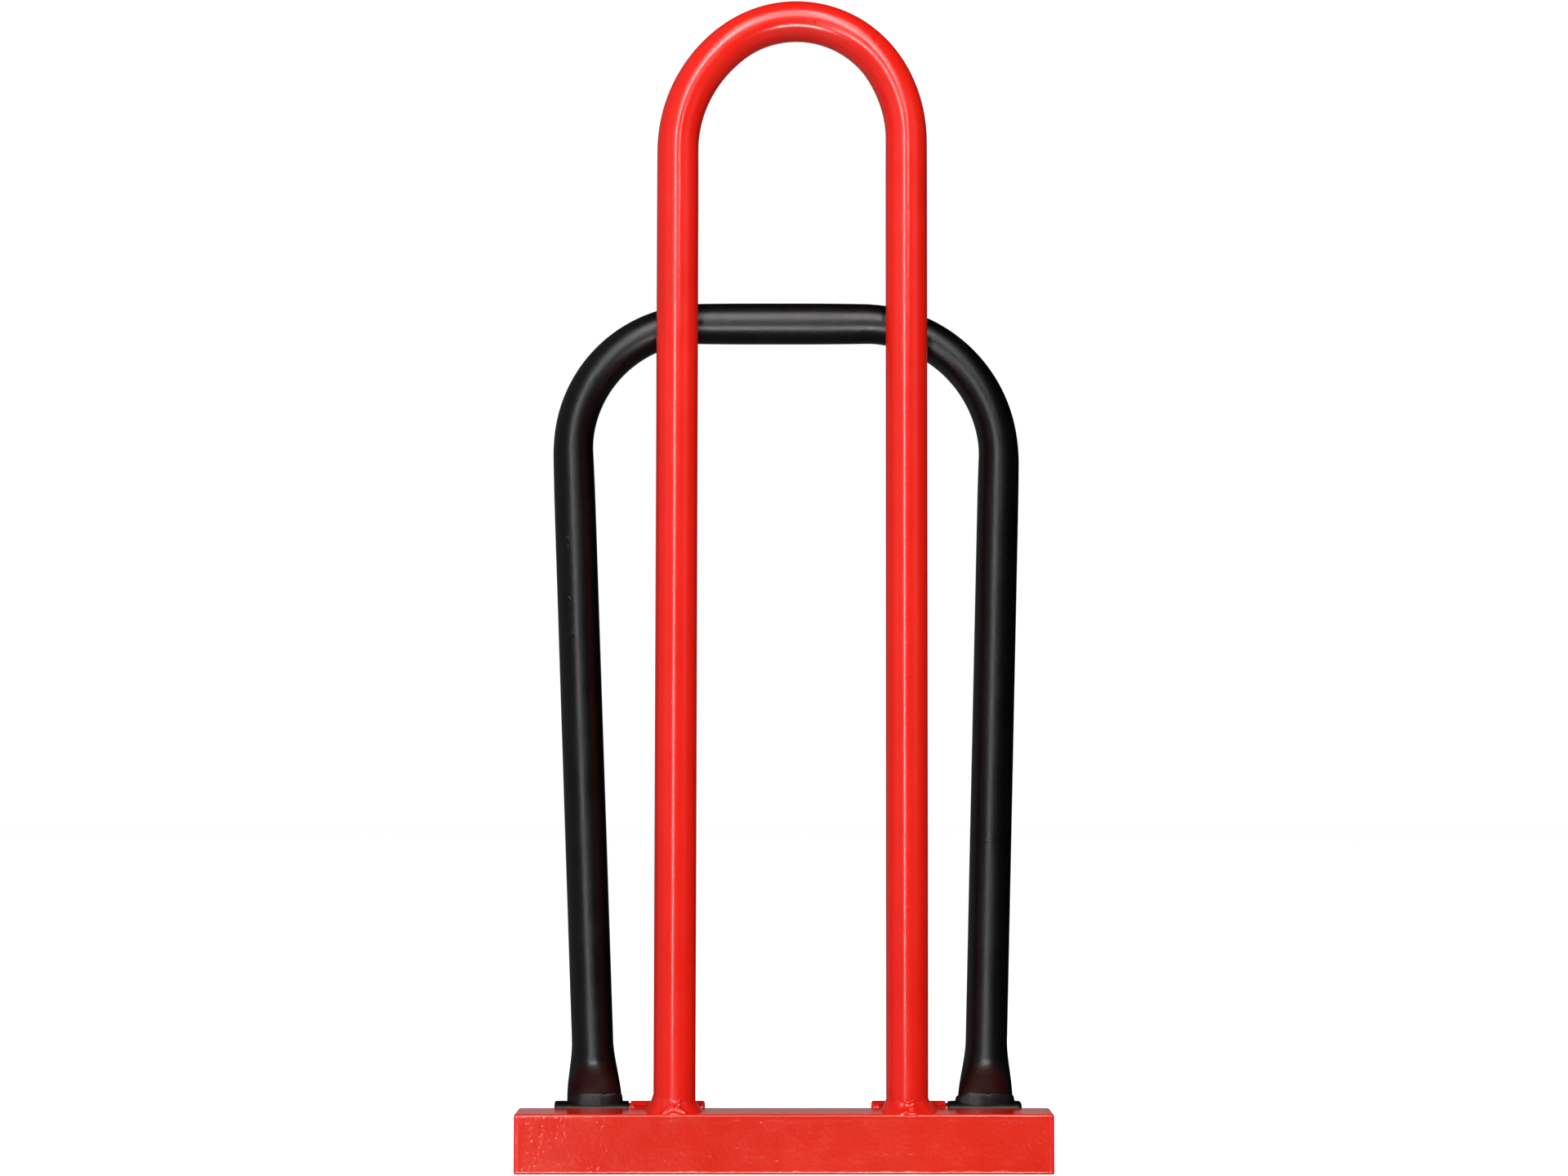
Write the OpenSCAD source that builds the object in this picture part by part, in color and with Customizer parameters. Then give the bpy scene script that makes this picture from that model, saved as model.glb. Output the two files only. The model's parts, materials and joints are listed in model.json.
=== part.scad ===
// Folding two-hoop frame: a tall tube hoop welded upright on a square foot bar, and a wider,
// lower hoop that swings back on two weld-on barrel hinges.
// X runs along the foot bar, +Y points to the hinges, +Z is up, and the floor is z = 0.

/* [Foot bar] */
// Length of the foot bar over both end plates
bar_length = 360; // [330:1:460]
// Side of the square tube
bar_side = 40; // [38:1:50]
// Wall of the square tube
bar_wall = 2.5; // [1.5:0.5:4]
// Outer corner radius of the square tube
bar_corner = 3; // [2:0.5:5]
// Thickness of the plate that closes each end
end_plate = 4; // [2:0.5:6]
// Step between the tube's side and the edge of its end plate, filled by the weld
end_step = 1.5; // [1:0.25:2]

/* [Upright hoop] */
// Outside diameter of both bent tubes
tube_d = 28.5; // [25:0.5:30]
// Wall of both bent tubes
tube_wall = 2; // [1.5:0.5:3]
// Loss of diameter where a tube is bent
bend_thin = 0.2; // [0.1:0.05:0.5]
// Height of the upright hoop above the floor
hoop_top = 795.8; // [700:0.1:1000]
// Distance between the centres of the two upright legs
leg_spacing = 156.4; // [150:0.2:160]
// Distance of the upright hoop's centre from the bar's middle
leg_shift = 5; // [0:0.5:8]
// Radius of the crown's middle arc
crown_r = 72.6; // [70:0.2:73.4]
// Distance of the crown's centre from the bar's middle
crown_shift = 7.8; // [6:0.2:9]
// Height from the left side arc's spring line to the crown's centre
left_rise = 17; // [14:0.5:20]
// Height from the right side arc's spring line to the crown's centre
right_rise = 10; // [8:0.5:14]

/* [Swinging hoop] */
// Height of the crossbar's centre line when folded
crossbar_z = 577; // [500:1:640]
// Where the left leg's line meets the crossbar's line
left_corner_x = -148.8; // [-156:0.2:-144]
// Where the right leg's line meets the crossbar's line
right_corner_x = 150.7; // [144:0.2:156]
// Middle of the left foot
left_foot_x = -128.9; // [-131:0.1:-128]
// Middle of the right foot
right_foot_x = 136.9; // [135:0.1:139]
// Radius of the left bend
left_bend_r = 87.6; // [70:0.2:100]
// Radius of the right bend
right_bend_r = 93; // [70:0.2:100]
// Gap between the two hoops' tubes when folded
hoop_gap = 0.35; // [0.3:0.05:1]
// Width of a foot where the tube is pressed flat
foot_w = 38.2; // [34:0.2:40]
// Thickness of a foot where the tube is pressed flat
foot_t = 11.4; // [9:0.2:13]
// Height at which the tube starts to flatten
flatten_z = 85; // [70:1:130]

/* [Hinges] */
// Diameter of a hinge barrel
barrel_d = 16; // [14:0.5:16.5]
// Length of each half of a barrel
barrel_len = 50.5; // [46:0.5:51]
// Height of the hinge axis
hinge_z = 35.7; // [35:0.1:37]
// Rounding of a barrel's closed end
barrel_round = 2; // [1:0.5:5]
// Diameter of the hinge pin
pin_d = 9; // [7:0.5:10]
// Radial running clearance between the pin and the knuckle
pin_play = 0.05; // [0.02:0.01:0.1]
// Depth of the pin in each half
pin_depth = 38; // [30:1:42]
// Thickness of the washer between the two halves
washer_t = 1.3; // [1:0.1:2]
// Outside diameter of the washer
washer_d = 13; // [12:0.5:14]

/* [Welds] */
// Leg of the fillet weld round each upright leg
leg_weld = 5.5; // [4:0.5:7]
// Reach of the weld between a sleeve and the bar's top
sleeve_weld = 4; // [3:0.5:5]
// Width of the weld round each flattened foot
foot_weld = 2; // [1.5:0.1:2.1]

/* [Hidden] */
$fn = 64;
foot_sides = 28;
press_steps = 8;

red = [0.86, 0.16, 0.11];
black = [0.08, 0.08, 0.09];
steel = [0.62, 0.63, 0.65];
brass = [0.78, 0.62, 0.3];

tube_r = tube_d / 2;
eps = 0.01;
// space between the welds of an upright leg and of the sleeve behind it
weld_gap = 0.3;
// thickness of a leg's weld at its upper edge
weld_lip = 0.4;
// length by which the stretches of one tube run into each other
lap = 1;

// upright hoop: a crown arc, and a wider arc on each side that runs into its leg
left_leg_x = leg_shift - leg_spacing / 2;
right_leg_x = leg_shift + leg_spacing / 2;
crown_d = tube_d - 2 * bend_thin;
crown_z = hoop_top - crown_d / 2 - crown_r;
left_reach = crown_shift - left_leg_x;
right_reach = right_leg_x - crown_shift;
function side_radius(reach, rise) =
    (rise * rise + reach * reach - crown_r * crown_r) / (2 * (reach - crown_r));
left_side_r = side_radius(left_reach, left_rise);
right_side_r = side_radius(right_reach, right_rise);
left_side = [left_leg_x + left_side_r, crown_z - left_rise];
right_side = [right_leg_x - right_side_r, crown_z - right_rise];
crown = [crown_shift, crown_z];
// angles, from +X, at which the crown arc meets each side arc
left_join = atan2(crown[1] - left_side[1], crown[0] - left_side[0]);
right_join = atan2(crown[1] - right_side[1], crown[0] - right_side[0]);

// hinge axis: along X, just behind the bar, in the plane of the swinging hoop
hinge_y = tube_d + hoop_gap;
barrel_r = barrel_d / 2;
half_gap = washer_t + 0.1;
left_split_x = left_foot_x + 23.8;
right_split_x = right_foot_x - 26.2;

// height at which a foot's middle is given
foot_low_z = hinge_z;
// lower and upper edge of the weld collar round a foot, above the hinge axis
collar_low = 5;
collar_high = 11.5;

module tube_ring(d) {
    difference() {
        circle(d = d);
        circle(d = d - 2 * tube_wall);
    }
}

// straight stretch of tube between two points of the XZ plane
module tube_run(from, to) {
    d = to - from;
    translate([from[0], 0, from[1]])
        rotate([0, atan2(d[0], d[1]), 0])
            linear_extrude(height = norm(d))
                tube_ring(tube_d);
}

// bent stretch of tube in the XZ plane, about a centre, between two angles from +X
module tube_bend(centre, r, from, to, d) {
    past = lap / r * 180 / PI;
    translate([centre[0], 0, centre[1]])
        rotate([90, 0, 0])
            rotate([0, 0, from - past])
                rotate_extrude(angle = to - from + 2 * past)
                    translate([r, 0])
                        tube_ring(d);
}

module rounded_square(side, r) {
    square([side - 2 * r, side], center = true);
    square([side, side - 2 * r], center = true);
    for (x = [-1, 1], y = [-1, 1])
        translate([x, y] * (side / 2 - r))
            circle(r = r);
}

// profile in YZ, extruded along +X from x0
module along_x(x0, length) {
    translate([x0, 0, 0])
        rotate([90, 0, 90])
            linear_extrude(height = length)
                children();
}

module bar_outline() {
    translate([0, bar_side / 2])
        rounded_square(bar_side, bar_corner);
}

module foot_bar() {
    color(red)
        along_x(end_plate - bar_length / 2, bar_length - 2 * end_plate)
            difference() {
                bar_outline();
                translate([0, bar_side / 2])
                    square(bar_side - 2 * bar_wall, center = true);
            }
}

// plate that closes one end of the bar: side is -1 on the left, 1 on the right
module end_plate_at(side) {
    plate_side = bar_side - 2 * end_step;
    color(red)
        along_x(side < 0 ? -bar_length / 2 : bar_length / 2 - end_plate, end_plate)
            translate([0, bar_side / 2])
                square(plate_side, center = true);
}

// weld that fills the step round an end plate, sloping in to the plate's outer edge
module end_plate_weld_at(side) {
    seam = end_plate - 1;
    slope = seam / end_step;
    plate_side = bar_side - 2 * end_step;
    color(red)
        translate([side * (bar_length / 2 - end_plate), 0, bar_side / 2])
            rotate([0, side * 90, 0])
                difference() {
                    linear_extrude(height = seam)
                        rounded_square(bar_side, bar_corner);
                    translate([0, 0, -eps])
                        linear_extrude(height = seam + 2 * eps)
                            square(plate_side, center = true);
                    for (turn = [0:90:270])
                        rotate([0, 0, turn])
                            translate([bar_side / 2, 0, 0.6])
                                rotate([0, -atan(1 / slope), 0])
                                    translate([0, -bar_side, 0])
                                        cube([bar_side, 2 * bar_side, bar_side]);
                }
}

module upright_hoop() {
    side_d = tube_d - bend_thin;
    color(red) {
        tube_run([left_leg_x, bar_side], left_side - [left_side_r, 0]);
        tube_bend(left_side, left_side_r, left_join, 180, side_d);
        tube_bend(crown, crown_r, right_join, left_join, crown_d);
        tube_bend(right_side, right_side_r, 0, right_join, side_d);
        tube_run([right_leg_x, bar_side], right_side + [right_side_r, 0]);
    }
}

// fillet weld round the bottom of an upright leg, kept clear of the weld behind it
module upright_weld_at(x) {
    reach = bar_side / 2 - sleeve_weld - weld_gap;
    color(red)
        translate([x, 0, bar_side])
            intersection() {
                difference() {
                    cylinder(h = leg_weld, r1 = tube_r + leg_weld, r2 = tube_r + weld_lip);
                    translate([0, 0, -1])
                        cylinder(h = leg_weld + 2, d = tube_d);
                }
                translate([-bar_side, -reach, 0])
                    cube([2 * bar_side, 2 * reach, leg_weld]);
            }
}

// one half of a barrel hinge: open at z = 0, rounded and closed at its far end
module barrel_half(bore_r) {
    difference() {
        rotate_extrude() {
            square([barrel_r, barrel_len - barrel_round]);
            square([barrel_r - barrel_round, barrel_len]);
            intersection() {
                translate([barrel_r - barrel_round, barrel_len - barrel_round])
                    circle(r = barrel_round);
                square([barrel_r, barrel_len]);
            }
        }
        translate([0, 0, -1])
            cylinder(h = pin_depth + 1.5, r = bore_r);
    }
}

// puts a hinge piece on the axis at x, with its own +Z towards side
module on_hinge(x, side) {
    translate([x, hinge_y, hinge_z])
        rotate([0, side * 90, 0])
            children();
}

module hinge_sleeve_left() {
    color(red)
        on_hinge(left_split_x + half_gap / 2, 1)
            barrel_half(pin_d / 2);
}

module hinge_sleeve_right() {
    color(red)
        on_hinge(right_split_x - half_gap / 2, -1)
            barrel_half(pin_d / 2);
}

module hinge_knuckle_left() {
    color(black)
        on_hinge(left_split_x - half_gap / 2, -1)
            barrel_half(pin_d / 2 + pin_play);
}

module hinge_knuckle_right() {
    color(black)
        on_hinge(right_split_x + half_gap / 2, 1)
            barrel_half(pin_d / 2 + pin_play);
}

module hinge_pin_at(split_x) {
    color(steel)
        on_hinge(split_x - pin_depth, 1)
            cylinder(h = 2 * pin_depth, d = pin_d);
}

// washer that lies against the sleeve's open face
module hinge_washer_at(split_x, side) {
    color(brass)
        on_hinge(split_x + side * half_gap / 2, -side)
            difference() {
                cylinder(h = washer_t, d = washer_d);
                translate([0, 0, -1])
                    cylinder(h = washer_t + 2, r = pin_d / 2 + pin_play);
            }
}

// weld between a sleeve and the bar's rear top edge
module sleeve_weld_at(x0) {
    inset = 3;
    length = barrel_len - barrel_round - inset;
    lean = 40;
    color(red)
        along_x(x0, length)
            difference() {
                polygon([
                    [bar_side / 2 - sleeve_weld, bar_side],
                    [hinge_y - barrel_r * sin(lean), hinge_z + barrel_r * cos(lean)],
                    [hinge_y, hinge_z],
                    [bar_side / 2 - sleeve_weld, hinge_z]
                ]);
                translate([hinge_y, hinge_z])
                    circle(d = barrel_d);
                bar_outline();
            }
}

// outline of a tube pressed flat, seen from above
module flat_outline(w, t) {
    for (x = [-1, 1])
        translate([x * (w - t) / 2, 0])
            circle(d = t);
    square([w - t, t], center = true);
}

// points round a section w wide and t thick, a circle where the two are equal
function section(x, z, w, t) = [
    for (i = [0:foot_sides - 1])
        let (turn = (i + 0.5) * 360 / foot_sides)
        [x + t / 2 * cos(turn) + sign(cos(turn)) * (w - t) / 2, t / 2 * sin(turn), z]
];

// smooth step from 0 to 1
function ease(u) = u * u * (3 - 2 * u);

// end of a leg: from the round tube to the flat foot, which stands on its barrel
module pressed_foot(foot_x, leg_x) {
    top_z = flatten_z + lap;
    flat_z = hinge_z + collar_high;
    round_d = tube_d - bend_thin;
    pressed = [
        for (i = [0:press_steps])
            let (u = i / press_steps, e = ease(u))
            section(leg_x + (foot_x - leg_x) * u, top_z + (flat_z - top_z) * u,
                round_d + (foot_w - round_d) * e, round_d + (foot_t - round_d) * e)
    ];
    rings = concat(pressed, [section(foot_x, hinge_z + barrel_r, foot_w, foot_t)]);
    last = len(rings) - 1;
    polyhedron(
        points = [for (ring = rings, p = ring) p],
        faces = concat(
            [[for (i = [foot_sides - 1:-1:0]) i]],
            [[for (i = [0:foot_sides - 1]) last * foot_sides + i]],
            [for (k = [0:last - 1], i = [0:foot_sides - 1])
                let (j = (i + 1) % foot_sides)
                [k * foot_sides + i, k * foot_sides + j,
                    (k + 1) * foot_sides + j, (k + 1) * foot_sides + i]]
        )
    );
}

// centre of a bend of radius r between a leg's line and the crossbar's line
function bend_centre(corner_x, foot_x, r) =
    let (lean = atan(abs(corner_x - foot_x) / (crossbar_z - foot_low_z)),
         inward = corner_x < 0 ? 1 : -1)
    [corner_x + inward * r * tan((90 + lean) / 2), crossbar_z - r];

// angle of a leg from the vertical
function leg_lean(corner_x, foot_x) = atan(abs(corner_x - foot_x) / (crossbar_z - foot_low_z));

// where the leg's line is at height z
function leg_at(corner_x, foot_x, z) =
    foot_x + (corner_x - foot_x) * (z - foot_low_z) / (crossbar_z - foot_low_z);

module swing_hoop() {
    left_lean = leg_lean(left_corner_x, left_foot_x);
    right_lean = leg_lean(right_corner_x, right_foot_x);
    left = bend_centre(left_corner_x, left_foot_x, left_bend_r);
    right = bend_centre(right_corner_x, right_foot_x, right_bend_r);
    left_end = left + left_bend_r * [-cos(left_lean), -sin(left_lean)];
    right_end = right + right_bend_r * [cos(right_lean), -sin(right_lean)];
    left_low = leg_at(left_corner_x, left_foot_x, flatten_z);
    right_low = leg_at(right_corner_x, right_foot_x, flatten_z);
    color(black)
        translate([0, hinge_y, 0]) {
            tube_run([left_low, flatten_z], left_end);
            tube_bend(left, left_bend_r, 90, 180 + left_lean, tube_d - bend_thin);
            tube_run([left[0], crossbar_z], [right[0], crossbar_z]);
            tube_bend(right, right_bend_r, -right_lean, 90, tube_d - bend_thin);
            tube_run([right_low, flatten_z], right_end);
            pressed_foot(left_foot_x, left_low);
            pressed_foot(right_foot_x, right_low);
        }
}

// weld collar between a flattened foot and its barrel
module foot_weld_at(x) {
    color(black)
        translate([x, hinge_y, hinge_z])
            difference() {
                translate([0, 0, collar_low])
                    linear_extrude(height = collar_high - collar_low)
                        flat_outline(foot_w + 2 * foot_weld, foot_t + 2 * foot_weld);
                translate([0, 0, barrel_r])
                    linear_extrude(height = bar_side)
                        flat_outline(foot_w, foot_t);
                rotate([0, 90, 0])
                    translate([0, 0, -bar_side])
                        cylinder(h = 2 * bar_side, d = barrel_d);
            }
}

foot_bar();
end_plate_at(-1);  // end_plate_left
end_plate_at(1);  // end_plate_right
end_plate_weld_at(-1);  // end_plate_weld_left
end_plate_weld_at(1);  // end_plate_weld_right
upright_hoop();
upright_weld_at(left_leg_x);  // upright_weld_left
upright_weld_at(right_leg_x);  // upright_weld_right
hinge_sleeve_left();
hinge_sleeve_right();
sleeve_weld_at(left_split_x + 3);  // sleeve_weld_left
sleeve_weld_at(right_split_x - barrel_len + 4);  // sleeve_weld_right
hinge_pin_at(left_split_x);  // hinge_pin_left
hinge_pin_at(right_split_x);  // hinge_pin_right
hinge_washer_at(left_split_x, 1);  // hinge_washer_left
hinge_washer_at(right_split_x, -1);  // hinge_washer_right
swing_hoop();
hinge_knuckle_left();
hinge_knuckle_right();
foot_weld_at(left_foot_x);  // foot_weld_left
foot_weld_at(right_foot_x);  // foot_weld_right
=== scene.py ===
"""Looks of the folding two-hoop frame: refined tubes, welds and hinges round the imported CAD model."""
import json
import math

import bmesh
import bpy
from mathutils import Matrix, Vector, noise


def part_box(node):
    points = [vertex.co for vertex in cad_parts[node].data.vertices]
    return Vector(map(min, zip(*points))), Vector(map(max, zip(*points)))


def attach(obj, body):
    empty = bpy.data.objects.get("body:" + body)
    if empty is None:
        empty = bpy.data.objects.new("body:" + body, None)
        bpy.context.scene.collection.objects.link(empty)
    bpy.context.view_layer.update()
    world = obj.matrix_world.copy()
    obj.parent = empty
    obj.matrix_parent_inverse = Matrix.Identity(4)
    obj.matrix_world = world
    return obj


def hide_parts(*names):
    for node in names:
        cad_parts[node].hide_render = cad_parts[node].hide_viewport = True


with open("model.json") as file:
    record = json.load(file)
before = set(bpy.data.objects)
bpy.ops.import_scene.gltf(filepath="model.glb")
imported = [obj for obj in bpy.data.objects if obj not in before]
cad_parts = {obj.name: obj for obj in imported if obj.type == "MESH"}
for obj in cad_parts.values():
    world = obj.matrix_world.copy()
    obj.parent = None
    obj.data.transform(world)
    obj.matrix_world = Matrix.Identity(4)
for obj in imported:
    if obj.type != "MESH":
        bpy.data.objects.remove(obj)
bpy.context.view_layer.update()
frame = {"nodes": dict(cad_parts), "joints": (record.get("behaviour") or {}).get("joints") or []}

MM = 0.001
UPRIGHT, SWING = "upright_frame", "swing_frame"

# ---------------------------------------------------------------- camera
CAMERA_PLACE = (0, -2.020, 0.270)
CAMERA_PITCH = math.radians(3.46)
CAMERA_LENS, CAMERA_SENSOR = 68.4, 36


def add_camera():
    """A camera straight in front, low down and tilted up a little."""
    camera = bpy.data.cameras.new("camera")
    camera.sensor_width = CAMERA_SENSOR
    camera.lens = CAMERA_LENS
    eye = bpy.data.objects.new("camera", camera)
    eye.location = CAMERA_PLACE
    eye.rotation_euler = (math.pi / 2 + CAMERA_PITCH, 0, 0)
    bpy.context.scene.collection.objects.link(eye)
    bpy.context.scene.camera = eye


add_camera()

# ---------------------------------------------------------------- sizes, from the frame
bar_low, bar_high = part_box("foot_bar")
BAR_HALF = bar_high.y
BAR_TOP = bar_high.z
BAR_CORNER = 1.8 * MM
FLAT_HALF = BAR_HALF - BAR_CORNER

hoop_low, hoop_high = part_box("upright_hoop")
TUBE_R = hoop_high.y
LEFT_LEG = hoop_low.x + TUBE_R
RIGHT_LEG = hoop_high.x - TUBE_R
HOOP_TOP = hoop_high.z
# the crown's middle arc, and the height of its centre above each side arc's spring line
CROWN_R = 72.6 * MM
CROWN_X = 7.8 * MM
LEFT_RISE, RIGHT_RISE = 17 * MM, 10 * MM

swing_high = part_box("swing_hoop")[1]
HINGE = Vector(frame["joints"][0]["pos_m"])
BARREL_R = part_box("hinge_knuckle_left")[1].z - HINGE.z
CROSSBAR_Z = swing_high.z - TUBE_R
FOOT_Z = HINGE.z + BARREL_R
# where each leg's line meets the crossbar's line, the middle of its foot, and its bend's radius
LEFT_CORNER, LEFT_FOOT, LEFT_BEND = -148.8 * MM, -128.9 * MM, 87.6 * MM
RIGHT_CORNER, RIGHT_FOOT, RIGHT_BEND = 150.7 * MM, 136.9 * MM, 93 * MM
FOOT_W, FOOT_T = 37.4 * MM, 11.4 * MM
# an end widens from WIDEN_Z down to the knuckle, and thins between the other two heights
WIDEN_Z = 85 * MM
THIN_FROM, THIN_TO = WIDEN_Z - 12 * MM, FOOT_Z + 4 * MM


# ---------------------------------------------------------------- small tools
def clamp(x, low=0.0, high=1.0):
    return max(low, min(high, x))


def smooth(x, start=0.0, end=1.0):
    """0 before start, 1 after end, and an eased step in between."""
    t = clamp((x - start) / (end - start))
    return t * t * (3 - 2 * t)


def ripple(point, size, seed=0.0):
    """Smooth noise from about -1 to 1, with features of that size in metres."""
    return noise.noise(Vector(point) / size + Vector((seed, 7.3 * seed, -3.1 * seed)))


def segment_distance(x, z, a, b):
    """Distance from (x, z) to the segment from a to b."""
    ax, az = a
    dx, dz = b[0] - ax, b[1] - az
    t = clamp(((x - ax) * dx + (z - az) * dz) / (dx * dx + dz * dz))
    return math.hypot(x - ax - t * dx, z - az - t * dz)


def grid_faces(rows, columns, wrap=True):
    """Quads between rows of columns points each; wrap joins the last column to the first."""
    last = columns if wrap else columns - 1
    return [
        (r * columns + c, r * columns + (c + 1) % columns,
         (r + 1) * columns + (c + 1) % columns, (r + 1) * columns + c)
        for r in range(rows - 1) for c in range(last)
    ]


def make_piece(name, points, faces, body, material, nodes=(), sharp=40):
    """A smooth-shaded mesh piece that rides on a body and may stand for CAD nodes."""
    mesh = bpy.data.meshes.new(name)
    mesh.from_pydata([tuple(p) for p in points], [], faces)
    mesh.validate()
    mesh.shade_smooth()
    mesh.set_sharp_from_angle(angle=math.radians(sharp))
    obj = bpy.data.objects.new(name, mesh)
    bpy.context.scene.collection.objects.link(obj)
    mesh.materials.append(material)
    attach(obj, body)
    if nodes:
        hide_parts(*nodes)
    return obj


def loft(rows, close=True, cap_start=True, cap_end=True):
    """Points and faces of a skin over rows of points, with flat ends. Rows run round the skin."""
    count = len(rows[0])
    points = [p for row in rows for p in row]
    faces = grid_faces(len(rows), count, close)
    if cap_start:
        faces.append(tuple(range(count))[::-1])
    if cap_end:
        faces.append(tuple((len(rows) - 1) * count + i for i in range(count)))
    return points, faces


# ---------------------------------------------------------------- materials
def shader(name, base, roughness, **sockets):
    """A Principled material, with its nodes, its links and its Principled node."""
    material = bpy.data.materials.new(name)
    material.use_nodes = True
    nodes, links = material.node_tree.nodes, material.node_tree.links
    principled = nodes["Principled BSDF"]
    principled.inputs["Base Color"].default_value = (*base, 1)
    principled.inputs["Roughness"].default_value = roughness
    for socket, value in sockets.items():
        principled.inputs[socket.replace("_", " ")].default_value = value
    return material, nodes, links, principled


def object_point(nodes):
    return nodes.new("ShaderNodeTexCoord").outputs["Object"]


def noise_map(nodes, links, point, scale, detail=2.0, rough=0.5, distortion=0.0):
    """Noise from 0 to 1, with about scale features to the metre."""
    node = nodes.new("ShaderNodeTexNoise")
    node.inputs["Scale"].default_value = scale
    node.inputs["Detail"].default_value = detail
    node.inputs["Roughness"].default_value = rough
    node.inputs["Distortion"].default_value = distortion
    links.new(point, node.inputs["Vector"])
    return node.outputs["Fac"]


def ramp(nodes, links, value, *stops):
    """A colour ramp over (position, colour or grey) stops."""
    node = nodes.new("ShaderNodeValToRGB")
    links.new(value, node.inputs["Fac"])
    elements = node.color_ramp.elements
    while len(elements) < len(stops):
        elements.new(0.5)
    for element, (at, colour) in zip(elements, stops):
        element.position = at
        grey = (colour, colour, colour) if isinstance(colour, (int, float)) else colour
        element.color = (*grey, 1)
    return node.outputs["Color"]


def bump(nodes, links, principled, height, strength, distance, under=None):
    """Raises the surface by height times distance, on top of an earlier bump given as under."""
    node = nodes.new("ShaderNodeBump")
    node.inputs["Strength"].default_value = strength
    node.inputs["Distance"].default_value = distance
    links.new(height, node.inputs["Height"])
    if under is not None:
        links.new(under, node.inputs["Normal"])
    links.new(node.outputs["Normal"], principled.inputs["Normal"])
    return node.outputs["Normal"]


def near(nodes, links, point, centre, radii, *stops):
    """A ramp over the distance from a centre, where 0.5 is one radius away along each axis."""
    offset = nodes.new("ShaderNodeVectorMath")
    offset.operation = "SUBTRACT"
    links.new(point, offset.inputs[0])
    offset.inputs[1].default_value = centre
    scaled = nodes.new("ShaderNodeVectorMath")
    scaled.operation = "MULTIPLY"
    links.new(offset.outputs["Vector"], scaled.inputs[0])
    scaled.inputs[1].default_value = [0.5 / r for r in radii]
    length = nodes.new("ShaderNodeVectorMath")
    length.operation = "LENGTH"
    links.new(scaled.outputs["Vector"], length.inputs[0])
    return ramp(nodes, links, length.outputs["Value"], *stops)


def combine(nodes, links, operation, first, second):
    """One arithmetic step between two values."""
    node = nodes.new("ShaderNodeMath")
    node.operation = operation
    links.new(first, node.inputs[0])
    links.new(second, node.inputs[1])
    return node.outputs["Value"]


def dust_nibs(nodes, links, point, spacing, radius):
    """Small round specks under the coat, about one per cell of that spacing."""
    cells = nodes.new("ShaderNodeTexVoronoi")
    cells.inputs["Scale"].default_value = 1 / spacing
    links.new(point, cells.inputs["Vector"])
    return ramp(nodes, links, cells.outputs["Distance"], (0.0, 1.0), (radius / spacing, 0.0))


def red_paint(name, base, peel_size, peel_depth, smoothest=0.17, nicks=()):
    """Glossy orange-red powder coat: colour drift, orange peel, fine waviness, dust nibs and nicks."""
    fine_size, fine_depth = 0.9 * MM, 0.02 * MM
    nib_spacing, nib_radius, nib_height = 16 * MM, 0.9 * MM, 0.07 * MM
    nick_depth = 0.5 * MM
    material, nodes, links, principled = shader(
        name, base, smoothest, IOR=1.5, Coat_Weight=0.35, Coat_Roughness=0.15)
    point = object_point(nodes)
    drift = noise_map(nodes, links, point, 14, 3, 0.6)
    red, green, blue = base
    colour = ramp(nodes, links, drift, (0.3, (0.95 * red, 0.85 * green, 0.85 * blue)),
                  (0.7, (1.05 * red, 1.15 * green, 1.15 * blue)))
    links.new(colour, principled.inputs["Base Color"])
    patches = noise_map(nodes, links, point, 60, 4, 0.6)
    links.new(ramp(nodes, links, patches, (0.3, smoothest), (0.75, smoothest + 0.08)),
              principled.inputs["Roughness"])
    peel = noise_map(nodes, links, point, 1 / peel_size, 2, 0.5, 0.15)
    wide = bump(nodes, links, principled, peel, 1.0, peel_depth)
    fine = noise_map(nodes, links, point, 1 / fine_size, 2, 0.5)
    top = bump(nodes, links, principled, fine, 0.35, fine_depth, under=wide)
    nibs = dust_nibs(nodes, links, point, nib_spacing, nib_radius)
    top = bump(nodes, links, principled, nibs, 1.0, nib_height, under=top)
    for centre, radii in nicks:
        dent = near(nodes, links, point, centre, radii, (0.1, 0.0), (0.6, 1.0))
        top = bump(nodes, links, principled, dent, 1.0, nick_depth, under=top)
    return material


def black_paint(name, smoothest, grain_depth, rings=()):
    """Satin black powder coat with a fine, even grain, a few dull grey scuffs and broken ring marks."""
    black, scuffed = (0.0010, 0.0010, 0.0012), (0.0060, 0.0060, 0.0064)
    grain_size, ring_height = 0.8 * MM, 0.25 * MM
    material, nodes, links, principled = shader(name, black, smoothest, IOR=1.5)
    point = object_point(nodes)
    scuffs = noise_map(nodes, links, point, 45, 6, 0.7, 1.5)
    links.new(ramp(nodes, links, scuffs, (0.58, black), (0.80, scuffed)), principled.inputs["Base Color"])
    wear = noise_map(nodes, links, point, 30, 5, 0.65)
    links.new(ramp(nodes, links, wear, (0.3, smoothest), (0.75, smoothest + 0.1)),
              principled.inputs["Roughness"])
    grain = noise_map(nodes, links, point, 1 / grain_size, 3, 0.6)
    top = bump(nodes, links, principled, grain, 0.8, grain_depth)
    for centre, radii, opening in rings:
        ring = near(nodes, links, point, centre, radii, (0.39, 0.0), (0.46, 1.0), (0.53, 0.0))
        gap = Vector(centre) + Vector(opening)
        kept = near(nodes, links, point, gap, radii, (0.45, 0.0), (0.7, 1.0))
        mark = combine(nodes, links, "MULTIPLY", ring, kept)
        top = bump(nodes, links, principled, mark, 1.0, ring_height, under=top)
    return material


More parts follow.
